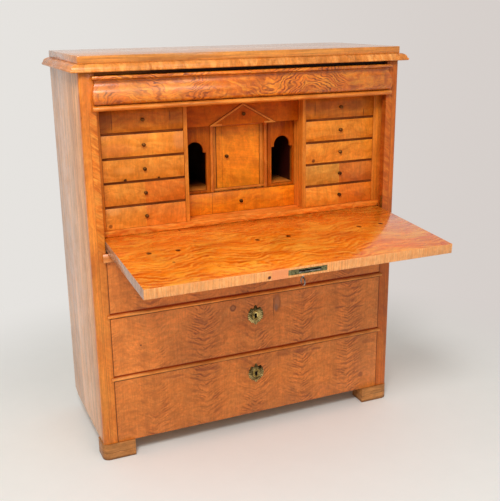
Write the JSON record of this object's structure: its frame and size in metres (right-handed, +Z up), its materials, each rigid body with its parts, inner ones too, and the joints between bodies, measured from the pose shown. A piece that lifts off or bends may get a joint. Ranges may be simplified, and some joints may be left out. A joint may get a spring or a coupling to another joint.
{
  "type": "fall front secretaire",
  "caption": "Fall front writing cabinet in figured birch: a hinged writing board over long drawers, a nest of small drawers with a locker and arched pigeonholes, and a cushioned frieze drawer.",
  "frame": {"origin": "on the floor, below the middle of the whole piece with its fall lowered", "axes": "+Z up, +X to the right of someone facing the front, the front faces -Y"},
  "size_m": [1.132, 0.8401, 1.2925],
  "materials": {
    "birch_veneer": "satin",
    "birch_dark": "satin",
    "pine": "matte",
    "brass": "aged",
    "steel": "aged"
  },
  "bodies": {
    "case": {"back_panel": "pine", "bottom_board": "pine", "cornice": "birch_veneer", "frieze_rail": "birch_veneer", "left_arch_board": "birch_dark", "left_column": "birch_veneer", "left_fall_pivot": "brass", "left_front_foot": "birch_dark", "left_locker_wall": "birch_veneer", "left_partition": "birch_veneer", "left_rack": "pine", "left_rear_foot": "birch_dark", "left_side": "birch_veneer", "left_stile": "birch_veneer", "lower_rail": "birch_veneer", "lower_shelf": "birch_veneer", "nest_bottom": "birch_veneer", "nest_left_side": "birch_veneer", "nest_right_side": "birch_veneer", "right_arch_board": "birch_dark", "right_column": "birch_veneer", "right_fall_pivot": "brass", "right_front_foot": "birch_dark", "right_locker_wall": "birch_veneer", "right_partition": "birch_veneer", "right_rack": "pine", "right_rear_foot": "birch_dark", "right_side": "birch_veneer", "right_stile": "birch_veneer", "sill_moulding": "birch_veneer", "sill_rail": "pine", "top_rail": "birch_dark", "top_slab": "birch_veneer", "upper_rail": "birch_veneer", "upper_shelf": "birch_veneer"},
    "fall": {"fall_front": "birch_veneer", "fall_lock": "brass", "fall_escutcheon": "brass"},
    "bolt": {"fall_bolt": "steel"},
    "key": {"fall_key": "steel"},
    "door": {"locker_door": "birch_veneer"},
    "frieze_drawer": {"frieze_drawer": "birch_veneer"},
    "upper_long_drawer": {"upper_long_drawer": "birch_veneer", "upper_escutcheon": "brass"},
    "middle_long_drawer": {"middle_long_drawer": "birch_veneer", "middle_escutcheon": "brass"},
    "lower_long_drawer": {"lower_long_drawer": "birch_veneer", "lower_escutcheon": "brass"},
    "left_drawer_1": {"left_drawer_1": "birch_veneer"},
    "left_drawer_2": {"left_drawer_2": "birch_veneer"},
    "left_drawer_3": {"left_drawer_3": "birch_veneer"},
    "left_drawer_4": {"left_drawer_4": "birch_veneer"},
    "left_drawer_5": {"left_drawer_5": "birch_veneer"},
    "right_drawer_1": {"right_drawer_1": "birch_veneer"},
    "right_drawer_2": {"right_drawer_2": "birch_veneer"},
    "right_drawer_3": {"right_drawer_3": "birch_veneer"},
    "right_drawer_4": {"right_drawer_4": "birch_veneer"},
    "right_drawer_5": {"right_drawer_5": "birch_veneer"},
    "centre_drawer": {"centre_drawer": "birch_veneer"},
    "pediment_drawer": {"pediment_drawer": "birch_veneer"}
  },
  "joints": [
    {"name": "fall_hinge", "type": "hinge", "parent": "case", "child": "fall", "pos_m": [0, -0.0089, 0.7237], "axis": [1, 0, 0], "range_deg": [-93.9, 0]},
    {"name": "key_turn", "type": "hinge", "parent": "fall", "child": "key", "pos_m": [-0.002, -0.37934, 0.69845], "axis": [0, -0.068, 0.9977], "range_deg": [0, 180]},
    {"name": "bolt_throw", "type": "slide", "parent": "fall", "child": "bolt", "axis": [0, -0.9977, -0.068], "range_m": [0, 0.008]},
    {"name": "locker_hinge", "type": "hinge", "parent": "case", "child": "door", "pos_m": [0.0753, 0.1059, 0.84429], "axis": [0, 0, 1], "range_deg": [0, 95]},
    {"name": "frieze_drawer_slide", "type": "slide", "parent": "case", "child": "frieze_drawer", "axis": [0, -1, 0], "range_m": [0, 0.26]},
    {"name": "upper_long_drawer_slide", "type": "slide", "parent": "case", "child": "upper_long_drawer", "axis": [0, -1, 0], "range_m": [0, 0.3]},
    {"name": "middle_long_drawer_slide", "type": "slide", "parent": "case", "child": "middle_long_drawer", "axis": [0, -1, 0], "range_m": [0, 0.3]},
    {"name": "lower_long_drawer_slide", "type": "slide", "parent": "case", "child": "lower_long_drawer", "axis": [0, -1, 0], "range_m": [0, 0.3]},
    {"name": "left_drawer_1_slide", "type": "slide", "parent": "case", "child": "left_drawer_1", "axis": [0, -1, 0], "range_m": [0, 0.24]},
    {"name": "left_drawer_2_slide", "type": "slide", "parent": "case", "child": "left_drawer_2", "axis": [0, -1, 0], "range_m": [0, 0.24]},
    {"name": "left_drawer_3_slide", "type": "slide", "parent": "case", "child": "left_drawer_3", "axis": [0, -1, 0], "range_m": [0, 0.24]},
    {"name": "left_drawer_4_slide", "type": "slide", "parent": "case", "child": "left_drawer_4", "axis": [0, -1, 0], "range_m": [0, 0.24]},
    {"name": "left_drawer_5_slide", "type": "slide", "parent": "case", "child": "left_drawer_5", "axis": [0, -1, 0], "range_m": [0, 0.24]},
    {"name": "right_drawer_1_slide", "type": "slide", "parent": "case", "child": "right_drawer_1", "axis": [0, -1, 0], "range_m": [0, 0.24]},
    {"name": "right_drawer_2_slide", "type": "slide", "parent": "case", "child": "right_drawer_2", "axis": [0, -1, 0], "range_m": [0, 0.24]},
    {"name": "right_drawer_3_slide", "type": "slide", "parent": "case", "child": "right_drawer_3", "axis": [0, -1, 0], "range_m": [0, 0.24]},
    {"name": "right_drawer_4_slide", "type": "slide", "parent": "case", "child": "right_drawer_4", "axis": [0, -1, 0], "range_m": [0, 0.24]},
    {"name": "right_drawer_5_slide", "type": "slide", "parent": "case", "child": "right_drawer_5", "axis": [0, -1, 0], "range_m": [0, 0.24]},
    {"name": "centre_drawer_slide", "type": "slide", "parent": "case", "child": "centre_drawer", "axis": [0, -1, 0], "range_m": [0, 0.24]},
    {"name": "pediment_drawer_slide", "type": "slide", "parent": "case", "child": "pediment_drawer", "axis": [0, -1, 0], "range_m": [0, 0.24]}
  ],
  "couplings": [
    {"joint": "key_turn", "follows": "bolt_throw", "rad_per_m": 392}
  ]
}
